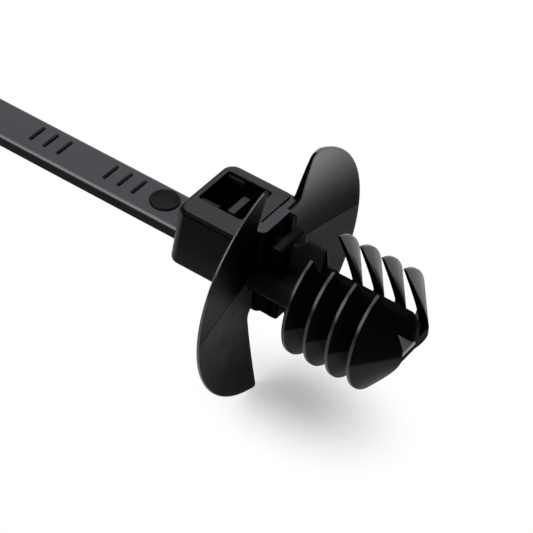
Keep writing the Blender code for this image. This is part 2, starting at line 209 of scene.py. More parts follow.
@dataclass(frozen=True)
class MouldFace:
    """How one face of the mould leaves the nylon.

    Attributes:
        colour: The plain grey of the nylon.
        roughness: How wide its highlights spread.
        specular: The strength of its reflections.
        speckle: How far the fine grain lightens the colour.
        grain_mm: The size of that grain.
        relief_mm: The height of that grain.
        painted_sheen: A paler grey painted on across a band of heights, a painted sheen that stands in
            for reflected light.
        painted_sheen_mm: The heights over the parting line across which the painted sheen comes in.
        polish: The share of its roughness that it loses there.
        skin: The weight of the clear skin that it gains there.
        skin_roughness: How wide the highlights on the clear skin spread.
        painted_sheen_power: How late across that band the painted sheen comes in.
        cool: How much blue the plain and the lightened nylon have to one part of red.
        pit_noise: The values of the grain's noise between which a pit begins.
        drift_noise: The values of the drift's noise over which the grain comes out.
        drift_grains: How many grains wide the slow drift of the surface is.
        drift_detail: The finer octaves of the drift.
        wear: How much the drift changes the roughness, and the pits as a share of that.
        relief_shares: How much the grain and the drift give to the relief.
    """

    colour: float
    roughness: float
    specular: float
    speckle: float
    grain_mm: float
    relief_mm: float
    painted_sheen: float = 0.0
    painted_sheen_mm: Flat = (0.0, 1.0)
    polish: float = 0.0
    skin: float = 0.0
    skin_roughness: float = 0.3
    painted_sheen_power: float = 1.6
    cool: Flat = (1.06, 1.04)
    pit_noise: Flat = (0.42, 0.72)
    drift_noise: Flat = (0.2, 0.8)
    drift_grains: float = 14.0
    drift_detail: float = 3.0
    wear: Flat = (0.5, 0.4)
    relief_shares: Flat = (0.7, 0.3)

    def shader(self, graph: NodeGraph, place: Signal, rise: Signal) -> Signal:
        """Build this face's shader.

        Args:
            graph: The material's graph.
            place: The point being shaded.
            rise: Its height over the parting line in metres.

        Returns:
            The shader.
        """
        grain = graph.noise(place, self.grain_mm)
        drift = graph.noise(place, self.drift_grains * self.grain_mm, self.drift_detail)
        pits = grain.ramp(*self.pit_noise)
        light = self.colour * (1.0 + self.speckle)
        plain = (self.colour, self.colour, self.colour * self.cool[0])
        lightened = (light, light, light * self.cool[1])
        colour = graph.shade(plain, lightened, pits * drift.ramp(*self.drift_noise))
        wear = self.wear[0] * self.speckle * self.roughness
        roughness = self.roughness + (drift - 0.5) * wear + (pits - 0.5) * (self.wear[1] * wear)
        coat: Value = 0.0
        # Painted sheen: across its band of heights the grey turns paler, and the face loses roughness
        # and gains a clear coat.
        if self.painted_sheen:
            low, high = (height * METRES_PER_MM for height in self.painted_sheen_mm)
            pale = rise.ramp(low, high)
            roughness = roughness * (1.0 - pale * self.polish)
            coat = pale * self.skin if self.skin else 0.0
            colour = graph.shade(colour, (self.painted_sheen,) * 3, pale**self.painted_sheen_power)
        relief = grain * self.relief_shares[0] + drift * self.relief_shares[1]
        depth = self.relief_mm * METRES_PER_MM
        inputs = {
            "Base Color": colour,
            "Roughness": roughness,
            "Specular IOR Level": self.specular,
            "Coat Weight": coat,
            "Coat Roughness": self.skin_roughness,
            "Normal": graph.node("ShaderNodeBump", None, {"Distance": depth, "Height": relief}),
        }
        return graph.node("ShaderNodeBsdfPrincipled", None, inputs)


@dataclass(frozen=True)
class MouldedNylon:
    """Black nylon moulded between an upper and a lower mould half.

    Attributes:
        name: The material's name.
        upper: The face above the parting line.
        lower: The face below it, or None where one half makes the whole surface.
        seam_mm: Half the height over which the two faces meet.
    """

    name: str
    upper: MouldFace
    lower: Optional[MouldFace] = None
    seam_mm: float = 0.02

    def build(self, parting_height: float) -> bpy.types.Material:
        """Make the material.

        Args:
            parting_height: The height of the parting line in metres.

        Returns:
            The material.
        """
        material = bpy.data.materials.new(self.name)
        material.use_nodes = True
        graph = NodeGraph(material.node_tree)
        place = graph.place()
        rise = graph.node("ShaderNodeSeparateXYZ", None, {0: place}, output=2) - parting_height
        surface = self.upper.shader(graph, place, rise)
        if self.lower:
            seam = self.seam_mm * METRES_PER_MM
            below = rise.ramp(seam, -seam)
            faces = {0: below, 1: surface, 2: self.lower.shader(graph, place, rise)}
            surface = graph.node("ShaderNodeMixShader", None, faces)
        graph.finish("ShaderNodeOutputMaterial", surface)
        return material


BLACK = MouldFace(0.002, 0.5, 0.015, 0.4, 0.12, 0.002)


class Finish(Enum):
    """The finishes of the tie: the nylon, and lighter and darker copies of it that paint highlights,
    sheen and shade onto chosen faces.
    """

    STRAP = MouldedNylon("satin_nylon_strap", MouldFace(0.006, 0.28, 0.37, 0.3, 0.11, 0.0006))
    HEAD = MouldedNylon("plain_nylon_head", MouldFace(0.006, 0.42, 0.28, 0.8, 0.11, 0.003))
    # Painted shade: a darker copy of the nylon for the upright faces of the strap and head, with a
    # painted sheen that turns it paler towards the bottom.
    SHADED_WALL = MouldedNylon(
        "wall_nylon_with_painted_shade",
        MouldFace(0.001, 0.3, 0.026, 0.5, 0.12, 0.002, painted_sheen=0.010, painted_sheen_mm=(4.6, -1.5)),
    )
    # Painted shade: the darkest, dullest copy of the nylon, for faces in recesses and between parts.
    PAINTED_SHADE = MouldedNylon("painted_shade_nylon", BLACK)
    # Painted highlight: a glossier copy of the nylon, paler than most of it, for rounded edges, rims
    # and the shank's front, so that they show lines of light.
    EDGE = MouldedNylon("glossy_edge_with_painted_highlight", MouldFace(0.01, 0.22, 0.75, 0.3, 0.12, 0.001))
    # Painted highlight: a paler, glossier copy of the wall's nylon for the head's rear corner.
    CORNER = MouldedNylon("corner_with_painted_highlight", MouldFace(0.003, 0.35, 0.07, 0.5, 0.12, 0.002))
    CAP = MouldedNylon("sparked_nylon_cap", MouldFace(0.008, 0.42, 0.40, 1.8, 0.24, 0.05))
    # Painted shade: a darker, duller copy of the head's nylon for the ledge's top and the steps in the
    # slot.
    LEDGE = MouldedNylon("ledge_with_painted_shade", MouldFace(0.004, 0.42, 0.09, 0.8, 0.11, 0.003))
    # Painted highlight: a far paler, mirror-bright copy of the nylon that puts a glint on the near
    # plate's upward facets.
    PAINTED_GLINT = MouldedNylon("plate_with_painted_glint", MouldFace(0.14, 0.3, 1.0, 0.6, 0.12, 0.003))
    # The lower half's paler grey is partly the matte face of the lower mould half and partly a painted
    # reflection of the floor, and a painted sheen turns it paler still towards the parting line.
    NEAR_WING = MouldedNylon(
        "near_wing_halves_with_painted_sheen",
        MouldFace(0.0015, 0.45, 0.03, 0.4, 0.12, 0.003),
        MouldFace(0.004, 0.55, 0.04, 1.6, 0.16, 0.008, painted_sheen=0.05, painted_sheen_mm=(-10.5, 0.0)),
    )
    # The upper half gets a painted sheen: its grey turns much paler, and its face glossier, towards the
    # top. The lower half's pale grey is partly the matte face of the lower mould half and partly a
    # painted reflection of the floor.
    FAR_WING = MouldedNylon(
        "far_wing_halves_with_painted_sheen",
        MouldFace(
            0.001, 0.5, 0.035, 0.4, 0.12, 0.0015, painted_sheen=0.22, painted_sheen_mm=(0.5, 11.0), polish=0.7, skin=0.5
        ),
        MouldFace(0.034, 0.55, 0.09, 1.6, 0.16, 0.010),
    )
    # The lower half's paler grey is partly the matte face of the lower mould half and partly a painted
    # reflection of the floor.
    NEAR_FIN = MouldedNylon(
        "near_fin_halves_with_painted_reflection", BLACK, MouldFace(0.016, 0.55, 0.06, 1.6, 0.16, 0.010)
    )
    # A painted sheen turns the far fins' grey paler, and their faces smoother, towards the top.
    FAR_FIN = MouldedNylon(
        "sparked_far_fin_with_painted_sheen",
        MouldFace(0.006, 0.5, 0.08, 2.2, 0.14, 0.006, painted_sheen=0.16, painted_sheen_mm=(0.0, 5.0), polish=0.6),
    )
    # Painted highlight: a glossier copy of the nylon, paler than the near fins, for the rounded rims of
    # the fins.
    RIM = MouldedNylon("glossy_rim_with_painted_highlight", MouldFace(0.006, 0.26, 0.36, 0.3, 0.12, 0.0015))
    BACK = MouldedNylon("plain_nylon_back", MouldFace(0.008, 0.45, 0.15, 0.8, 0.12, 0.003))
    # Painted sheen: a paler copy of the nylon for the shank and the rib.
    SHANK = MouldedNylon("shank_with_painted_sheen", MouldFace(0.014, 0.5, 0.02, 0.6, 0.12, 0.003))
    PIN = MouldedNylon("pin_faced_nylon", MouldFace(0.003, 0.4, 0.07, 0.6, 0.1, 0.003))


# Beyond every part of a normal and every distance from the axis in millimetres.
ANY = 100.0


@dataclass(frozen=True)
class FaceRule:
    """A rule that picks faces of a piece. A face has to lie inside every range.

    Attributes:
        x: The range of its normal along X, which is 1 where it looks along that axis.
        y: The range of its normal along Y.
        z: The range of its normal along Z.
        reach: The range of its distance from the fir tree's axis.
    """

    x: Flat = (-ANY, ANY)
    y: Flat = (-ANY, ANY)
    z: Flat = (-ANY, ANY)
    reach: Flat = (-ANY, ANY)

    def picks(self, normal: Vector, place: Vector) -> bool:
        """Tell whether the rule picks a face with this normal, whose middle is at this place."""
        values = zip((*normal, math.hypot(place.y, place.z)), (self.x, self.y, self.z, self.reach))
        return all(low < value < high for value, (low, high) in values)


class Side(Enum):
    """The faces of a piece that can have a second finish."""

    UPRIGHT = FaceRule(z=(-0.35, 0.35))
    OFF_LEVEL = FaceRule(z=(-ANY, 0.93))
    NOT_SIDEWAYS = FaceRule(y=(-0.7, 0.7))
    OUTER_ROUND = FaceRule(reach=(12.62, ANY))
    INNER_ROUND = FaceRule(x=(-0.3, 0.3), reach=(5.95, 6.2))
    REAR_CORNER = FaceRule(x=(-ANY, -0.25), y=(-ANY, -0.25))
    FACING_TAIL = FaceRule(x=(-ANY, 0.05))
    FACING_TIP = FaceRule(x=(0.3, ANY))
    WING_BACK = FaceRule(x=(-ANY, -0.5))
    GAP_SIDE = FaceRule(y=(-ANY, -0.6))
    NEAR_EDGE = FaceRule(y=(-ANY, -0.1), z=(0.35, ANY))
    FAR_EDGE = FaceRule(y=(0.1, ANY), z=(0.2, ANY))


@dataclass(frozen=True)
class Accent:
    """A second finish on some faces of a piece.

    Attributes:
        finish: The finish.
        side: The faces that get it, the upright ones where nothing is said.
    """

    finish: Finish
    side: Side = Side.UPRIGHT


# Outlines and meshes.


def arc(centre: Flat, radius: float, start: float, end: float, steps: int) -> List[Flat]:
    """Give points along an arc between two angles in degrees, both ends among them."""
    turns = [math.radians(start + (end - start) * i / steps) for i in range(steps + 1)]
    return [(centre[0] + radius * math.cos(a), centre[1] + radius * math.sin(a)) for a in turns]


def rectangle(low: Flat, high: Flat) -> List[Flat]:
    """Outline a rectangle anticlockwise from its low corner."""
    return [low, (high[0], low[1]), high, (low[0], high[1])]


def rounded_rectangle(low: Flat, high: Flat, radii: Sequence[float], steps: int = 6) -> List[Flat]:
    """Outline a rectangle with rounded corners.

    Args:
        low: The corner with the lowest values.
        high: The corner with the highest values.
        radii: Corner radii anticlockwise from the high corner.
        steps: Steps in each corner.

    Returns:
        The outline.
    """
    outline: List[Flat] = []
    signs = ((1, 1), (-1, 1), (-1, -1), (1, -1))
    for number, ((u, v), radius) in enumerate(zip(signs, radii)):
        corner = (high[0] if u > 0 else low[0], high[1] if v > 0 else low[1])
        centre = (corner[0] - u * radius, corner[1] - v * radius)
        outline += arc(centre, radius, 90 * number, 90 * number + 90, steps)
    return outline


def quarter_round(radius: float, steps: int) -> List[Flat]:
    """List how far a rounded edge is drawn in at each height, as (inset, height)."""
    turns = [math.pi / 2 * i / steps for i in range(steps + 1)]
    return [(radius * (1 - math.sin(a)), radius * (1 - math.cos(a))) for a in turns]


def level(outline: Sequence[Flat], z: float) -> List[Point]:
    """Lay an (x, y) outline at a height."""
    return [(x, y, z) for x, y in outline]


def across(outline: Sequence[Flat], x: float) -> List[Point]:
    """Stand a (y, z) outline across the tie."""
    return [(x, y, z) for y, z in outline]


def ring_faces(rings: int, size: int, closed: bool) -> List[Face]:
    """Join rings of points with quads.

    Args:
        rings: The number of rings.
        size: The points in each ring.
        closed: Whether the last ring joins the first, instead of a cap on each.

    Returns:
        The faces.
    """
    faces: List[Face] = []
    if not closed:
        faces += [tuple(range(size)), tuple(range((rings - 1) * size, rings * size))]
    for row in range(rings if closed else rings - 1):
        here, there = row * size, (row + 1) % rings * size
        for i in range(size):
            j = (i + 1) % size
            faces.append((here + i, here + j, there + j, there + i))
    return faces


def add_object(name: str, data: bpy.types.ID) -> bpy.types.Object:
    """Put an object in the scene.

    Args:
        name: Its name.
        data: Its mesh, lamp or camera.

    Returns:
        The object.
    """
    obj = bpy.data.objects.new(name, data)
    bpy.context.scene.collection.objects.link(obj)
    return obj


@dataclass(frozen=True)
class AxisFrame:
    """The place of the fir tree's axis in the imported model.

    Attributes:
        shift: What is added to a point about the axis, in millimetres.
    """

    shift: Vector

    @classmethod
    def of_tie(cls, tip_x: float, foot: float) -> "AxisFrame":
        """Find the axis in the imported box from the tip's place and the reach under the axis."""
        low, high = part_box(NODE)
        return cls(Vector((high.x / METRES_PER_MM - tip_x, 0.0, low.z / METRES_PER_MM + foot)))

    def metres(self, point: Sequence[float]) -> Vector:
        """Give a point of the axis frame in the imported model's metres."""
        return (Vector(point) + self.shift) * METRES_PER_MM


@dataclass
class Workshop:
    """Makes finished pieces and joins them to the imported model.

    Attributes:
        axis: The frame that sizes are given in.
        materials: The materials made so far.
        weld: The distance in metres at which two points are one.
        round_steps: The steps of a rounded edge.
        round_angle: The angle in degrees from which an edge is rounded.
        sharp_angle: The angle in degrees from which an edge that isn't rounded is sharp.
    """

    axis: AxisFrame
    materials: Dict[Finish, bpy.types.Material] = field(default_factory=dict)
    weld: float = 1e-7
    round_steps: int = 3
    round_angle: float = 42.0
    sharp_angle: float = 50.0

    def material(self, finish: Finish) -> bpy.types.Material:
        """Make a finish's material once and give it.

        Args:
            finish: The finish.

        Returns:
            Its material.
        """
        if finish not in self.materials:
            parting = self.axis.metres((0.0, 0.0, 0.0)).z
            self.materials[finish] = finish.value.build(parting)
        return self.materials[finish]

    def piece(
        self, name: str, points: Sequence[Point], faces: Sequence[Face], finish: Finish,
        rounding: float = 0.0, accents: Sequence[Accent] = (),
    ) -> None:
        """Make one piece of the tie.

        Args:
            name: The piece's name.
            points: Its points in the axis frame.
            faces: Its faces.
            finish: Its finish.
            rounding: The radius that its sharp edges get.
            accents: The second finishes, where some faces differ. The last that fits a face counts.
        """
        mesh = bpy.data.meshes.new(name)
        mesh.from_pydata([self.axis.metres(p) for p in points], [], faces)
        shape = bmesh.new()
        shape.from_mesh(mesh)
        bmesh.ops.remove_doubles(shape, verts=shape.verts, dist=self.weld)
        bmesh.ops.recalc_face_normals(shape, faces=shape.faces)
        for face in shape.faces:
            face.smooth = True
            middle = face.calc_center_median() / METRES_PER_MM - self.axis.shift
            for number, accent in enumerate(accents, 1):
                if accent.side.value.picks(face.normal, middle):
                    face.material_index = number
        shape.to_mesh(mesh)
        shape.free()
        obj = add_object(name, mesh)
        for each in (finish, *(accent.finish for accent in accents)):
            mesh.materials.append(self.material(each))
        if rounding:
            bevel = obj.modifiers.new("edge rounding", "BEVEL")
            bevel.width = rounding * METRES_PER_MM
            bevel.segments = self.round_steps
            bevel.limit_method = "ANGLE"
            bevel.angle_limit = math.radians(self.round_angle)
        else:
            mesh.set_sharp_from_angle(angle=math.radians(self.sharp_angle))
        weighted = obj.modifiers.new("flat faces", "WEIGHTED_NORMAL")
        weighted.keep_sharp = True
        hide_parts(NODE)
        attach(obj, BODY)
        LOG.info("%s: %d faces", name, len(mesh.polygons))

    def loft(
        self, name: str, rings: Sequence[Sequence[Point]], finish: Finish,
        rounding: float = 0.0, accents: Sequence[Accent] = (), closed: bool = False,
    ) -> None:
        """Make a piece from rings of points.

        Args:
            name: The piece's name.
            rings: Rings of equal length.
            finish: Its finish.
            rounding: The radius that its sharp edges get.
            accents: The second finishes, where some faces differ.
            closed: Whether the last ring joins the first.
        """
        points = [point for ring in rings for point in ring]
        faces = ring_faces(len(rings), len(rings[0]), closed)
        self.piece(name, points, faces, finish, rounding, accents)

    def bar_along_x(
        self, name: str, outline: Sequence[Flat], ends: Flat, finish: Finish,
        rounding: float, accents: Sequence[Accent] = (),
    ) -> None:
        """Make a piece from a (y, z) outline between two places along X."""
        self.loft(name, [across(outline, x) for x in ends], finish, rounding, accents)

    def bar_along_y(
        self, name: str, outline: Sequence[Flat], ends: Flat, finish: Finish,
        rounding: float, accents: Sequence[Accent] = (),
    ) -> None:
        """Make a piece from an (x, z) outline between two places along Y."""
        rings = [[(x, y, z) for x, z in outline] for y in ends]
        self.loft(name, rings, finish, rounding, accents)

    def block(
        self, name: str, x: Flat, y: Flat, z: Flat, finish: Finish, rounding: float
    ) -> None:
        """Make a block with rounded edges from its ranges along X, Y and Z."""
        self.bar_along_x(name, rectangle((y[0], z[0]), (y[1], z[1])), x, finish, rounding)


# Sub-assemblies.


@dataclass(frozen=True)
class SubAssembly:
    """A few pieces of the tie that belong together.

    Attributes:
        shop: Makes the pieces.
    """

    shop: Workshop


@dataclass(frozen=True)
class Strap(SubAssembly):
    """The toothed strap with its round boss, tick bars, tail taper and grip bars."""

    root_x: float = -8.75
    head_rear: float = -9.35
    length: float = 160.0
    half_width: float = 2.3
    top: float = 1.0
    thickness: float = 1.3
    top_edge: float = 0.3
    top_edge_share: float = 0.45
    top_steps: int = 6
    foot_edge: float = 0.14
    foot_steps: int = 3
    taper_length: float = 16.0
    tip_half_width: float = 1.4
    tip_round: float = 1.0
    tip_turn: float = 88.0
    tip_steps: int = 8
    least_half_width: float = 0.4
    tooth_start: float = -23.35
    tooth_count: int = 102
    tooth_pitch: float = 1.15
    tooth_depth: float = 0.45
    tooth_steep: float = 0.2
    tooth_half_width: float = 1.55
    least_groove: float = 0.012
    boss_place: Flat = (-13.9, 0.35)
    boss_radius: float = 1.5
    boss_height: float = 0.14
    boss_steps: int = 48
    # Each step of the boss: its share of the radius and its height from the boss's top.
    boss_profile: Tuple[Flat, ...] = (
        (1.0, -0.06), (0.985, -0.02), (0.95, 0.0), (0.86, 0.0), (0.8, -0.03), (0.4, -0.05),
    )
    tick_starts: Tuple[float, ...] = (-16.8, -25.9)
    ticks_per_group: int = 3
    tick_pitch: float = 1.7
    tick_width: float = 0.35
    tick_length: float = 2.2
    tick_height: float = 0.12
    tick_y: float = 0.3
    tick_round: float = 0.07
    grip_count: int = 6
    grip_pitch: float = 1.8
    grip_length: float = 0.8
    grip_half_width: float = 1.0
    grip_height: float = 0.22
    grip_gap: float = 4.5
    grip_round: float = 0.06
    sunk: float = 0.25

    def tail_end(self) -> float:
        """Give the place of the tail's tip."""
        return self.head_rear - self.length

    def section(self, x: float, half_width: float, groove: float) -> List[Point]:
        """Outline the strap at one place.

        Args:
            x: The place along the strap.
            half_width: Half the strap's width there.
            groove: The depth of the space between teeth there.

        Returns:
            The section's points.
        """
        foot = self.top - self.thickness
        edge = min(self.top_edge, self.top_edge_share * half_width)
        band = min(self.tooth_half_width, half_width - 2 * self.foot_edge)
        outline = arc((half_width - edge, self.top - edge), edge, 0, 90, self.top_steps)
        outline += arc((edge - half_width, self.top - edge), edge, 90, 180, self.top_steps)
        low = (self.foot_edge - half_width, foot + self.foot_edge)
        outline += arc(low, self.foot_edge, 180, 270, self.foot_steps)
        outline += [(-band, foot), (-band, foot + groove), (band, foot + groove), (band, foot)]
        outline += arc((-low[0], low[1]), self.foot_edge, 270, 360, self.foot_steps)
        return across(outline, x)

    def stations(self) -> List[Point]:
        """List the strap's sections.

        Returns:
            The place, half width and groove depth of each.
        """
        plain = (self.half_width, self.least_groove)
        rows = [(self.root_x, *plain)]
        for tooth in range(self.tooth_count):
            x = self.tooth_start - tooth * self.tooth_pitch
            rows += [(x, *plain), (x - self.tooth_steep, self.half_width, self.tooth_depth)]
        rows.append((self.tooth_start - self.tooth_count * self.tooth_pitch, *plain))
        rows.append((self.tail_end() + self.taper_length, *plain))
        for x, y in arc((0.0, 0.0), 1.0, 0, self.tip_turn, self.tip_steps):
            place = self.tail_end() + self.tip_round * (1.0 - y)
            width = self.tip_half_width - self.tip_round * (1.0 - x)
            rows.append((place, max(width, self.least_half_width), self.least_groove))
        return rows

    def belt(self) -> None:
        """Build the strap itself."""
        rings = [self.section(*row) for row in self.stations()]
        # The strap's sides get painted shade and its top edges a painted highlight.
        edges = [Accent(Finish.EDGE, side) for side in (Side.NEAR_EDGE, Side.FAR_EDGE)]
        self.shop.loft("strap", rings, Finish.STRAP, accents=[Accent(Finish.SHADED_WALL)] + edges)

    def boss(self) -> None:
        """Build the low round boss that a mould pin leaves beside the head."""
        top, steps = self.top + self.boss_height, self.boss_steps
        profile = [(1.0, self.top - self.sunk)]
        profile += [(share, top + rise) for share, rise in self.boss_profile]
        rings = []
        for share, z in profile:
            radius = self.boss_radius * share
            rings.append(level(arc(self.boss_place, radius, 0, 360 - 360 / steps, steps - 1), z))
        self.shop.loft("strap_boss", rings, Finish.PIN)

    def ticks(self) -> None:
        """Build the groups of plain tick bars on the strap."""
        half = self.tick_length / 2
        y = (self.tick_y - half, self.tick_y + half)
        z = (self.top - self.sunk, self.top + self.tick_height)
        for group, start in enumerate(self.tick_starts):
            for i in range(self.ticks_per_group):
                x = start - i * self.tick_pitch
                name, ends = f"tick_{group}_{i}", (x - self.tick_width, x)
                self.shop.block(name, ends, y, z, Finish.PIN, self.tick_round)

    def grips(self) -> None:
        """Build the grip bars on the tail."""
        foot, ends = self.top - self.sunk, (-self.grip_half_width, self.grip_half_width)
        for i in range(self.grip_count):
            x = self.tail_end() + self.grip_gap + i * self.grip_pitch
            ridge = (x + self.grip_length / 2, self.top + self.grip_height)
            outline = [(x, foot), (x + self.grip_length, foot), ridge]
            self.shop.bar_along_y(f"grip_{i}", outline, ends, Finish.STRAP, self.grip_round)

    def build(self) -> None:
        """Build every piece of the strap."""
        self.belt()
        self.boss()
        self.ticks()
        self.grips()


@dataclass(frozen=True)
class Head(SubAssembly):
    """The flared head block with its strap slot and the pawl inside."""

    rear: float = -9.35
    front: float = -2.17
    half_width: float = 4.25
    top: float = 5.75
    foot: float = -1.0
    rear_corner: float = 1.2
    front_corner: float = 0.6
    edge: float = 0.5
    front_edge: float = 0.0
    rear_flare: float = 0.75
    side_flare: float = 0.15
    slot_x: Flat = (-8.5, -3.7)
    slot_y: Flat = (-1.75, 3.0)
    slot_corner: float = 0.25
    slot_lip: float = 0.14
    least_corner: float = 0.05
    round_steps: int = 8
    lip_steps: int = 4
    step_width: Flat = (0.55, 0.32)
    step_length: Flat = (2.2, 1.9)
    step_z: Flat = (4.9, 5.5)
    step_sunk: float = 0.1
    step_round: float = 0.12
    hinge_z: Flat = (0.1, 0.8)
    hinge_length: float = 1.3
    hinge_shoulder: float = 1.3
    hinge_sunk: float = 0.3
    pawl_y: Flat = (-0.7, 1.9)
    pawl_top: float = 4.85
    pawl_tip: Flat = (-6.0, -5.2)
    pawl_heel: float = 0.6
    pawl_teeth: int = 3
    pawl_pitch: float = 0.95
    pawl_depth: float = 0.4
    pawl_steep: float = 0.2
    pawl_round: float = 0.07

    def outer(self, z: float, inset: float) -> List[Point]:
        """Outline the head at one height.

        Args:
            z: The height.
            inset: How far its rounded edges draw it in.

        Returns:
            The ring of points.
        """
        share = (self.top - z) / (self.top - self.foot)
        half = self.half_width + self.side_flare * share - inset
        low = (self.rear - self.rear_flare * share + inset, -half)
        high = (self.front - min(inset, self.front_edge), half)
        rear = self.rear_corner - inset
        front = max(self.front_corner - inset, self.least_corner)
        return level(rounded_rectangle(low, high, (front, rear, rear, front), self.round_steps), z)

    def inner(self, z: float, grow: float) -> List[Point]:
        """Outline the slot at one height.

        Args:
            z: The height.
            grow: How far its rounded lip widens it.

        Returns:
            The ring of points.
        """
        low = (self.slot_x[0] - grow, self.slot_y[0] - grow)
        high = (self.slot_x[1] + grow, self.slot_y[1] + grow)
        radii = [self.slot_corner + grow] * 4
        return level(rounded_rectangle(low, high, radii, self.round_steps), z)

    def block(self) -> None:
        """Build the block round its slot."""
        edge = quarter_round(self.edge, self.round_steps)
        lip = quarter_round(self.slot_lip, self.lip_steps)
        rings = [self.outer(self.foot + up, inset) for inset, up in edge]
        rings += [self.outer(self.top - up, inset) for inset, up in reversed(edge)]
        rings += [self.inner(self.top - up, grow) for grow, up in lip]
        rings += [self.inner(self.foot + up, grow) for grow, up in reversed(lip)]
        # Every face of the head but its top gets painted shade, and its rear corner a painted
        # highlight.
        accents = (Accent(Finish.SHADED_WALL, Side.OFF_LEVEL), Accent(Finish.CORNER, Side.REAR_CORNER))
        self.shop.loft("head", rings, Finish.HEAD, accents=accents, closed=True)

    def pawl(self) -> None:
        """Build the hinged finger whose teeth hold the strap."""
        wall, (foot, shoulder) = self.slot_x[0] - self.hinge_sunk, self.hinge_z
        rear, front = self.pawl_tip
        outline = [(wall, foot), (wall, shoulder), (wall + self.hinge_length, self.hinge_shoulder)]
        outline += [(rear, self.pawl_top), (front, self.pawl_top)]
        for tooth in range(self.pawl_teeth):
            z = self.pawl_top - (tooth + 1) * self.pawl_pitch
            outline += [(front - self.pawl_depth, z + self.pawl_steep), (front, z)]
        outline.append((rear - self.pawl_heel, foot))
        self.shop.bar_along_y("pawl", outline, self.pawl_y, Finish.HEAD, self.pawl_round)

    def steps(self) -> None:
        """Build the two steps at the rear of the slot, one on each side."""
        (near, far), over = self.slot_y, self.step_sunk
        ranges = ((near - over, near + self.step_width[0]), (far - self.step_width[1], far + over))
        for name, y, length in zip(("near", "far"), ranges, self.step_length):
            x = (self.slot_x[0] - over, self.slot_x[0] + length)
            self.shop.block(f"slot_step_{name}", x, y, self.step_z, Finish.LEDGE, self.step_round)

    def build(self) -> None:
        """Build the head, its pawl and the steps in its slot."""
        self.block()
        self.pawl()
        self.steps()


@dataclass(frozen=True)
class Wing:
    """What is particular to one wing of the dish.

    Attributes:
        name: Its name.
        side: -1 for the near wing, 1 for the far wing.
        top_gap: How far its upper edge lies from the middle.
        top_corner: The radius of its upper tip.
        finish: Its finish.
        accents: Its second finishes.
    """

    name: str
    side: int
    top_gap: float
    top_corner: float
    finish: Finish
    accents: Tuple[Accent, ...]


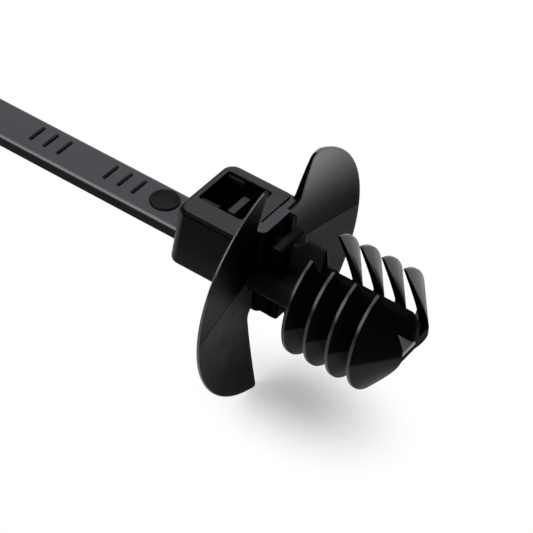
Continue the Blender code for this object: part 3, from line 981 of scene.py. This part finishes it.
@dataclass(frozen=True)
class Dish(SubAssembly):
    """The two springy wings that press on the panel."""

    radius: float = 12.7
    root_radius: float = 3.0
    rim_x: float = 0.0
    root_x: float = -1.75
    rim_thickness: float = 0.28
    root_thickness: float = 1.0
    power: float = 1.25
    inner_y: float = 1.0
    top_root: float = 5.2
    foot_root: float = 3.6
    root_corner: float = 1.0
    foot_gap: float = 3.0
    foot_corner: float = 0.3
    edge: float = 0.09
    # Each step of a rounded edge, from its face outward: drawn in and sunk, in shares of the edge.
    edge_steps: Tuple[Flat, ...] = ((0.3, 0.3), (0.0, 1.0))
    round_steps: int = 8
    tip_steps: int = 10
    rim_steps: int = 90
    crease_half: float = 0.1
    crease_depth: float = 0.035
    spacing: float = 0.4
    first_row: float = 0.8
    clearance: float = 0.55
    weld: float = 1e-6
    # The near wing's rounded rims get a painted highlight, and the far wing's gap sides painted shade.
    wings: Tuple[Wing, ...] = (
        Wing(
            "near_wing", -1, 2.9, 0.8, Finish.NEAR_WING,
            (Accent(Finish.EDGE, Side.OUTER_ROUND), Accent(Finish.EDGE, Side.INNER_ROUND)),
        ),
        Wing(
            "far_wing", 1, 4.0, 0.8, Finish.FAR_WING,
            (Accent(Finish.BACK, Side.WING_BACK), Accent(Finish.PAINTED_SHADE, Side.GAP_SIDE)),
        ),
    )

    @classmethod
    def foot(cls) -> float:
        """Give how far the wings reach under the axis."""
        (_, height), _ = cls.corner(cls.foot_gap, cls.foot_corner)
        return height + cls.foot_corner

    @classmethod
    def corner(cls, gap: float, radius: float) -> Tuple[Flat, float]:
        """Find the round between a gap's side and the rim.

        Args:
            gap: How far the gap's side lies from the middle.
            radius: The radius of the round.

        Returns:
            Its centre, and the angle in degrees at which it meets the rim.
        """
        y = gap + radius
        z = math.sqrt((cls.radius - radius) ** 2 - y**2)
        return (y, z), math.degrees(math.atan2(z, y))

    def outline(self, wing: Wing) -> List[Flat]:
        """Outline one wing, as if it stood on the side of positive Y.

        Args:
            wing: The wing.

        Returns:
            The outline anticlockwise.
        """
        low, low_turn = self.corner(self.foot_gap, self.foot_corner)
        high, high_turn = self.corner(wing.top_gap, wing.top_corner)
        round_y, top_z = wing.top_gap - self.root_corner, self.top_root + self.root_corner
        foot_z = -self.foot_root - self.root_corner
        points: List[Flat] = [(self.inner_y, -self.foot_root)]
        foot_y, steps = self.foot_gap - self.root_corner, self.round_steps
        points += arc((foot_y, foot_z), self.root_corner, 90, 0, steps)
        points += arc((low[0], -low[1]), self.foot_corner, 180, 360 - low_turn, steps)
        points += arc((0.0, 0.0), self.radius, -low_turn, high_turn, self.rim_steps)[1:-1]
        points += arc(high, wing.top_corner, high_turn, 180, self.tip_steps)
        points += arc((round_y, top_z), self.root_corner, 0, -90, steps)
        points.append((self.inner_y, self.top_root))
        return self.refine(points)

    def refine(self, points: List[Flat]) -> List[Flat]:
        """Put points along the long edges of an outline.

        Args:
            points: The outline.

        Returns:
            The outline with no edge much longer than the spacing.
        """
        finer: List[Flat] = []
        for (u, v), (p, q) in zip(points, points[1:] + points[:1]):
            parts = max(1, round(math.hypot(p - u, q - v) / self.spacing))
            finer += [(u + (p - u) * i / parts, v + (q - v) * i / parts) for i in range(parts)]
        return finer

    def share(self, y: float, z: float) -> float:
        """Give how far out a point lies, from 0 at the wing's root to 1 at its rim."""
        reach = math.hypot(y, z)
        return max(0.0, (reach - self.root_radius) / (self.radius - self.root_radius))

    def curve_x(self, y: float, z: float) -> float:
        """Give the place of the dish's curve along X at a point of the wing."""
        return self.root_x + (self.rim_x - self.root_x) * self.share(y, z) ** self.power

    def hollow_x(self, y: float, z: float) -> float:
        """Give the hollow face's place along X, with the parting crease in it."""
        return self.curve_x(y, z) - max(0.0, 1.0 - abs(z) / self.crease_half) * self.crease_depth

    def back_x(self, y: float, z: float) -> float:
        """Give the rear face's place along X, behind the hollow face."""
        thinning = (self.rim_thickness - self.root_thickness) * self.share(y, z)
        return self.curve_x(y, z) - (self.root_thickness + thinning)

    def inset(self, outline: List[Flat], depth: float) -> List[Flat]:
        """Draw an outline in.

        Args:
            outline: The outline anticlockwise.
            depth: How far it moves in.

        Returns:
            The outline drawn in.
        """
        moved: List[Flat] = []
        earlier, later = outline[-1:] + outline[:-1], outline[1:] + outline[:1]
        for before, here, after in zip(earlier, outline, later):
            u, v = after[0] - before[0], after[1] - before[1]
            size = math.hypot(u, v)
            moved.append((here[0] - depth * v / size, here[1] + depth * u / size))
        return moved

    def inside(self, outline: List[Flat], y: float, z: float) -> bool:
        """Tell whether a point lies inside an outline and clear of its corners.

        Args:
            outline: The outline.
            y: The point's place along Y.
            z: Its height.

        Returns:
            Whether it does.
        """
        crossings = False
        for (u, v), (p, q) in zip(outline, outline[1:] + outline[:1]):
            if math.hypot(u - y, v - z) < self.clearance * self.spacing:
                return False
            if (v > z) != (q > z) and y < (p - u) * (z - v) / (q - v) + u:
                crossings = not crossings
        return crossings

    def filling(self, outline: List[Flat]) -> List[Flat]:
        """List the points inside an outline, with rows along the parting crease.

        Args:
            outline: The outline.

        Returns:
            The points.
        """
        rows = [-self.crease_half, 0.0, self.crease_half]
        height, step = self.first_row * self.spacing, self.spacing * math.sqrt(0.75)
        while height < self.radius:
            rows += [height, -height]
            height += step
        found: List[Flat] = []
        for number, z in enumerate(rows):
            shift = self.spacing * (0.25 if number % 4 < 2 else 0.75)
            for i in range(int(self.radius / self.spacing) + 2):
                y = i * self.spacing + shift
                if self.inside(outline, y, z):
                    found.append((y, z))
        return found

    def sheet(self, wing: Wing) -> None:
        """Build one wing as a thin curved sheet with rounded edges.

        Args:
            wing: The wing.
        """
        outline, side = self.outline(wing), wing.side
        drawn = self.inset(outline, self.edge)
        size = len(drawn)
        filled = [Vector(point) for point in drawn + self.filling(drawn)]
        loop = list(range(size))
        flat, _, triangles, *_ = delaunay_2d_cdt(filled, [], [loop], 1, self.weld)
        count = len(flat)
        points = [(self.hollow_x(v.x, v.y), side * v.x, v.y) for v in flat]
        points += [(self.back_x(v.x, v.y), side * v.x, v.y) for v in flat]
        faces: List[Face] = [tuple(t) for t in triangles]
        faces += [tuple(count + i for i in reversed(t)) for t in triangles]
        rim, steps = [loop], self.edge_steps
        for face_x, inward, rounds in ((self.hollow_x, -1, steps), (self.back_x, 1, steps[::-1])):
            for inset, depth in rounds:
                rim.append([len(points) + i for i in range(size)])
                ring = self.inset(outline, inset * self.edge)
                sunk = inward * depth * self.edge
                points += [(face_x(y, z) + sunk, side * y, z) for y, z in ring]
        rim.append([count + i for i in range(size)])
        for here, there in zip(rim, rim[1:]):
            for i in range(size):
                j = (i + 1) % size
                faces.append((here[i], here[j], there[j], there[i]))
        self.shop.piece(wing.name, points, faces, wing.finish, accents=wing.accents)

    def build(self) -> None:
        """Build both wings."""
        for wing in self.wings:
            self.sheet(wing)


@dataclass(frozen=True)
class Neck(SubAssembly):
    """The blocks, ledge, rib and shank between the head and the fir tree."""

    rear: float = -2.97
    seat: float = -2.16
    foot: float = -4.0
    cap_front: float = -0.9
    cap_half: float = 2.1
    cap_top: float = 5.74
    cap_corners: Tuple[float, ...] = (0.08, 0.08, 0.08, 0.65)
    cap_round: float = 0.08
    groove_y: Flat = (-0.9, 2.2)
    groove_width: float = 0.16
    root_front: float = -1.45
    root_y: Flat = (-2.9, 4.15)
    root_z: Flat = (-1.0, 5.55)
    root_round: float = 0.05
    cheek_front: float = -0.4
    cheek_y: Flat = (1.5, 2.1)
    cheek_z: Flat = (-1.2, 5.6)
    cheek_round: float = 0.15
    half: float = 1.85
    recess_floor: float = 3.0
    core_lap: float = 0.4
    core_round: float = 0.1
    ledge_x: Flat = (-0.1, 1.05)
    ledge_top: float = 4.45
    ledge_corners: Tuple[float, ...] = (0.5, 0.05, 0.05, 0.5)
    ledge_round: float = 0.12
    rib_half: Flat = (3.1, 1.2)
    rib_corner: float = 1.1
    rib_steps: int = 8
    rib_front: float = 4.2
    rib_round: float = 0.12
    shank_thick: float = 0.6
    shank_thin: float = 0.2
    shank_taper: float = 3.2
    # Places along X with the shank's half height there.
    shank_heights: Tuple[Flat, ...] = ((-2.97, 4.2), (1.5, 4.2), (2.5, 5.4), (4.5, 5.4))
    shank_round: float = 0.1

    def cap(self) -> None:
        """Build the cap with the groove in its rear side."""
        low, high = (self.seat, -self.cap_half), (self.cap_front, self.cap_half)
        plan = rounded_rectangle(low, high, self.cap_corners)
        floor, (near, far) = self.seat + self.groove_width, self.groove_y
        split = plan.index(min(plan))
        notch = [(self.seat, far), (floor, far), (floor, near), (self.seat, near)]
        plan = plan[:split] + notch + plan[split:]
        rings = [level(plan, z) for z in (self.foot, self.cap_top)]
        # The cap's sides get painted shade.
        self.shop.loft("cap", rings, Finish.CAP, self.cap_round, [Accent(Finish.PAINTED_SHADE)])

    def blocks(self) -> None:
        """Build the wing roots, the cheek and the core."""
        shop, x, (near, far), z = self.shop, (self.rear, self.root_front), self.root_y, self.root_z
        # The near wing root, the cheek and the core get painted shade all over, and the far wing root
        # on its sides.
        shop.block("near_wing_root", x, (near, 0.0), z, Finish.PAINTED_SHADE, self.root_round)
        outline = rectangle((x[0], z[0]), (x[1], z[1]))
        shop.bar_along_y(
            "far_wing_root", outline, (0.0, far), Finish.CAP, self.root_round, [Accent(Finish.PAINTED_SHADE)]
        )
        x = (self.rear, self.cheek_front)
        shop.block("cheek", x, self.cheek_y, self.cheek_z, Finish.PAINTED_SHADE, self.cheek_round)
        x, y = (self.rear, self.ledge_x[0] + self.core_lap), (-self.half, self.half)
        z = (self.foot, self.recess_floor)
        shop.block("core", x, y, z, Finish.PAINTED_SHADE, self.core_round)

    def ledge(self) -> None:
        """Build the ledge with its rounded front edges."""
        low, high = (self.ledge_x[0], self.foot), (self.ledge_x[1], self.ledge_top)
        outline = rounded_rectangle(low, high, self.ledge_corners)
        # The ledge's sides get painted shade.
        ends, accents = (-self.half, self.half), [Accent(Finish.PAINTED_SHADE)]
        self.shop.bar_along_y("ledge", outline, ends, Finish.LEDGE, self.ledge_round, accents)

    def rib(self) -> None:
        """Build the rounded level rib."""
        y, z = self.rib_half
        outline = rounded_rectangle((-y, -z), (y, z), [self.rib_corner] * 4, self.rib_steps)
        ends = (self.rear, self.rib_front)
        self.shop.bar_along_x("rib", outline, ends, Finish.SHANK, self.rib_round)

    def shank(self) -> None:
        """Build the thin upright shank."""
        rings = []
        for x, height in self.shank_heights:
            upper = [(self.shank_thick, self.shank_taper), (self.shank_thin, height)]
            right = [(y, -z) for y, z in reversed(upper)] + upper
            rings.append(across(right + [(-y, z) for y, z in reversed(right)], x))
        # The shank's front faces get a painted highlight.
        accents = [Accent(Finish.EDGE, Side.FACING_TIP)]
        self.shop.loft("shank", rings, Finish.SHANK, self.shank_round, accents)

    def build(self) -> None:
        """Build every piece of the neck."""
        self.cap()
        self.blocks()
        self.ledge()
        self.rib()
        self.shank()


@dataclass(frozen=True)
class FirTree(SubAssembly):
    """The web, the level plate and the four pairs of swept fins."""

    count: int = 4
    first_x: float = 4.2
    pitch: float = 2.36
    radius: float = 6.05
    land: float = 0.35
    front_slope: float = 0.778
    rear_slope: float = 0.577
    gap: float = 2.12
    fin_round: float = 0.13
    tip_x: float = 14.65
    web_half: Flat = (0.55, 3.2)
    web_x: Flat = (4.1, 13.85)
    web_foot_front: float = 13.4
    web_round: float = 0.3
    plate_half: Flat = (2.2, 0.6)
    near_plate_round: float = 0.08
    far_plate_round: float = 0.1
    crease_half: float = 0.12
    crease_depth: float = 0.04
    crease_clear: float = 1.5
    turns: int = 28
    spans: int = 7

    def angles(self) -> List[float]:
        """List the turns of a fin's rays about its own side, with three at the crease.

        Returns:
            The turns in radians, rising.
        """
        reach = math.acos(self.gap / self.radius)
        crease = self.crease_half / self.radius
        rest = [reach * (i / self.turns) for i in range(1, self.turns + 1)]
        half = [crease] + [turn for turn in rest if turn > self.crease_clear * crease]
        return [-turn for turn in reversed(half)] + [0.0] + half

    def fin(self, index: int, side: int) -> None:
        """Build one fin.

        Args:
            index: Its number from the rear.
            side: -1 for the near side, 1 for the far side.
        """
        rear, outer = self.first_x + index * self.pitch, self.radius
        land, tip = rear + self.land, self.tip_x
        rings = []
        for turn in self.angles():
            inner = self.gap / math.cos(turn)
            crease = max(0.0, 1.0 - abs(turn) * outer / self.crease_half) * self.crease_depth
            radii = [inner + (outer - inner) * i / self.spans for i in range(self.spans + 1)]
            ring = [(min(land + self.front_slope * (outer - r) - crease, tip), r) for r in radii]
            ring += [(rear + self.rear_slope * (outer - r), r) for r in reversed(radii)]
            rings.append([(x, side * r * math.cos(turn), r * math.sin(turn)) for x, r in ring])
        # The fins' rims get a painted highlight, and the far fins' faces towards the tail painted
        # shade.
        rim = Accent(Finish.RIM, Side.INNER_ROUND)
        if side < 0:
            name, finish, accents = "near", Finish.NEAR_FIN, [rim]
        else:
            name, finish, accents = "far", Finish.FAR_FIN, [Accent(Finish.PAINTED_SHADE, Side.FACING_TAIL), rim]
        self.shop.loft(f"fin_{name}_{index}", rings, finish, self.fin_round, accents)

    def spine(self) -> None:
        """Build the upright web and the level plate."""
        (y, z), (rear, front), foot, tip = self.web_half, self.web_x, self.web_foot_front, self.tip_x
        nose = z - (tip - front) / self.front_slope
        outline = [(rear, -z), (foot, -z), (foot, 0.0), (tip, 0.0), (tip, nose), (front, z), (rear, z)]
        # The web and the plates get painted shade.
        self.shop.bar_along_y("web", outline, (-y, y), Finish.PAINTED_SHADE, self.web_round)
        (y, z), ends = self.plate_half, (rear, tip)
        self.shop.block("far_plate", ends, (0.0, y), (-z, z), Finish.PAINTED_SHADE, self.far_plate_round)
        # The near plate's upper half gets a painted glint on its faces that don't look sideways.
        painted_glint_faces = (Accent(Finish.PAINTED_GLINT, Side.NOT_SIDEWAYS),)
        for name, low, high, accents in (("lower", -z, 0.0, ()), ("upper", 0.0, z, painted_glint_faces)):
            self.shop.bar_along_x(
                f"near_plate_{name}", rectangle((-y, low), (0.0, high)), ends,
                Finish.PAINTED_SHADE, self.near_plate_round, accents,
            )

    def build(self) -> None:
        """Build the web, the plate and every fin."""
        self.spine()
        for index in range(self.count):
            for side in (-1, 1):
                self.fin(index, side)


# Studio.


@dataclass(frozen=True)
class SoftBox:
    """One square lamp.

    Attributes:
        name: The lamp's name.
        toward: The direction from the tie to the lamp.
        distance: How far away it stands, in metres.
        size: The length of its side in metres.
        radiance: How bright its face is, where 1 is white.
        colour: The cool tone of its light.
    """

    name: str
    toward: Point
    distance: float
    size: float
    radiance: float
    colour: Point = (0.97, 0.985, 1.06)

    def build(self, target: Vector) -> None:
        """Hang the lamp.

        Args:
            target: The point it faces, in metres.
        """
        lamp = bpy.data.lights.new(self.name, "AREA")
        lamp.shape = "SQUARE"
        lamp.size = self.size
        lamp.energy = self.radiance * math.pi * self.size**2
        lamp.color = self.colour
        obj = add_object(self.name, lamp)
        direction = Vector(self.toward).normalized()
        obj.location = target + direction * self.distance
        obj.rotation_euler = direction.to_track_quat("Z", "Y").to_euler()


@dataclass(frozen=True)
class Studio:
    """The pale floor, the soft lamps and the camera.

    Attributes:
        axis: The frame that sizes are given in.
        eye: The camera's place in the axis frame, in millimetres.
        right: The direction to the right of the picture.
        up: The direction to the top of the picture.
        lens: The focal length in millimetres.
        sensor: The width of the camera's sensor in millimetres.
        nearest: The distance in metres from which the camera sees.
        lamps: The soft boxes.
        floor_colour: The floor's grey.
        floor_mottle: How much paler its grey turns in places.
        floor_mottle_mm: The size of those places.
        floor_roughness: How wide its highlights spread.
        floor_specular: The strength of its reflections.
        floor_half: Half the floor's side in metres.
        shadow_place: The middle of the part of the floor that keeps its shade, in the axis frame.
        shadow_stretch: How much longer that part is along X than across.
        shadow_reach: Where that part begins to fade and where it ends, in metres from its middle.
        shadow_share: How much of the shade it keeps.
        sky: The brightness of the room.
    """

    axis: AxisFrame
    eye: Point = (81.09, -127.52, 139.41)
    right: Point = (0.8094, 0.5848, 0.0538)
    up: Point = (-0.4286, 0.5257, 0.7348)
    lens: float = 151.32
    sensor: float = 36.0
    nearest: float = 0.01
    lamps: Tuple[SoftBox, ...] = (
        SoftBox("overhead_softbox", (-0.30, 0.05, 0.95), 0.9, 0.7, 2.6),
        SoftBox("rear_softbox", (-0.40, 0.75, 0.55), 1.0, 0.7, 1.6),
        SoftBox("left_softbox", (-0.40, -0.65, 0.60), 0.9, 0.6, 4.5),
        SoftBox("low_rear_softbox", (0.0, 0.98, 0.22), 1.2, 0.5, 1.6),
    )
    floor_colour: float = 0.88
    floor_mottle: float = 0.02
    floor_mottle_mm: float = 60.0
    floor_roughness: float = 0.9
    floor_specular: float = 0.1
    floor_half: float = 2.0
    shadow_place: Flat = (4.6, -2.2)
    shadow_stretch: float = 1.5
    shadow_reach: Flat = (0.0, 0.0085)
    shadow_share: float = 0.68
    sky: float = 0.06

    def camera(self) -> None:
        """Place the camera at the photograph's viewpoint."""
        data = bpy.data.cameras.new("camera")
        data.sensor_width = self.sensor
        data.lens = self.lens
        data.clip_start = self.nearest
        obj = add_object("camera", data)
        right = Vector(self.right).normalized()
        up = Vector(self.up)
        up = (up - right * up.dot(right)).normalized()
        turn = Matrix((right, up, right.cross(up))).transposed().to_4x4()
        obj.matrix_world = Matrix.Translation(self.axis.metres(self.eye)) @ turn
        bpy.context.scene.camera = obj

    def floor_paint(self, graph: NodeGraph, place: Signal) -> Signal:
        """Make the floor's faintly mottled paint.

        Args:
            graph: The material's graph.
            place: The point being shaded.

        Returns:
            The shader.
        """
        plain, pale = self.floor_colour, self.floor_colour + self.floor_mottle
        mottle = graph.noise(place, self.floor_mottle_mm)
        inputs = {
            "Base Color": graph.shade((plain,) * 3, (pale,) * 3, mottle),
            "Roughness": self.floor_roughness,
            "Specular IOR Level": self.floor_specular,
        }
        return graph.node("ShaderNodeBsdfPrincipled", None, inputs)

    def shaded(self, graph: NodeGraph, place: Signal) -> Signal:
        """Give how much of its shade the floor keeps at a point.

        Args:
            graph: The material's graph.
            place: The point being shaded.

        Returns:
            The share.
        """
        centre = self.axis.metres((*self.shadow_place, 0.0))
        slim = (1.0 / self.shadow_stretch, 1.0, 0.0)
        middle = (centre.x * slim[0], centre.y, 0.0)
        squeezed = graph.node("ShaderNodeVectorMath", {"operation": "MULTIPLY"}, {0: place, 1: slim})
        ends = {0: squeezed, 1: middle}
        away = graph.node("ShaderNodeVectorMath", {"operation": "DISTANCE"}, ends, output="Value")
        return (1.0 - away.ramp(*self.shadow_reach)) * self.shadow_share

    def floor_material(self) -> bpy.types.Material:
        """Make the floor's material, white to the eye except where the tie shades it.

        Returns:
            The material.
        """
        material = bpy.data.materials.new("pale_floor")
        material.use_nodes = True
        graph = NodeGraph(material.node_tree)
        place = graph.place()
        paint = self.floor_paint(graph, place)
        white = graph.node("ShaderNodeEmission", None, {"Color": (1.0,) * 4, "Strength": 1.0})
        kept = self.shaded(graph, place)
        seen = graph.node("ShaderNodeLightPath", output="Is Camera Ray")
        for ray in ("Is Glossy Ray", "Is Transmission Ray"):
            seen = seen.highest(graph.node("ShaderNodeLightPath", output=ray))
        faces = {0: seen * (1.0 - kept), 1: paint, 2: white}
        graph.finish("ShaderNodeOutputMaterial", graph.node("ShaderNodeMixShader", None, faces))
        return material

    def floor(self) -> None:
        """Lay the floor."""
        half = self.floor_half
        mesh = bpy.data.meshes.new("floor")
        mesh.from_pydata(level(rectangle((-half, -half), (half, half)), 0.0), [], [(0, 1, 2, 3)])
        mesh.materials.append(self.floor_material())
        obj = add_object("floor", mesh)

    def room(self) -> None:
        """Set the even light of the room and the plain view transform."""
        world = bpy.data.worlds.new("room")
        world.use_nodes = True
        graph = NodeGraph(world.node_tree)
        inputs = {"Color": (1.0,) * 4, "Strength": self.sky}
        graph.finish("ShaderNodeOutputWorld", graph.node("ShaderNodeBackground", None, inputs))
        bpy.context.scene.world = world
        bpy.context.scene.view_settings.view_transform = "Standard"

    def build(self) -> None:
        """Build the whole studio."""
        self.camera()
        self.floor()
        self.room()
        for lamp in self.lamps:
            lamp.build(self.axis.metres((0.0, 0.0, 0.0)))


def main() -> None:
    """Build the studio and every sub-assembly."""
    logging.basicConfig(level=logging.INFO, format="%(message)s")
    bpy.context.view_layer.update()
    shop = Workshop(AxisFrame.of_tie(FirTree.tip_x, Dish.foot()))
    Studio(shop.axis).build()
    for kind in (Strap, Head, Dish, Neck, FirTree):
        kind(shop).build()
        LOG.info("%s done", kind.__name__)
    bpy.context.view_layer.update()


if __name__ == "__main__":
    main()
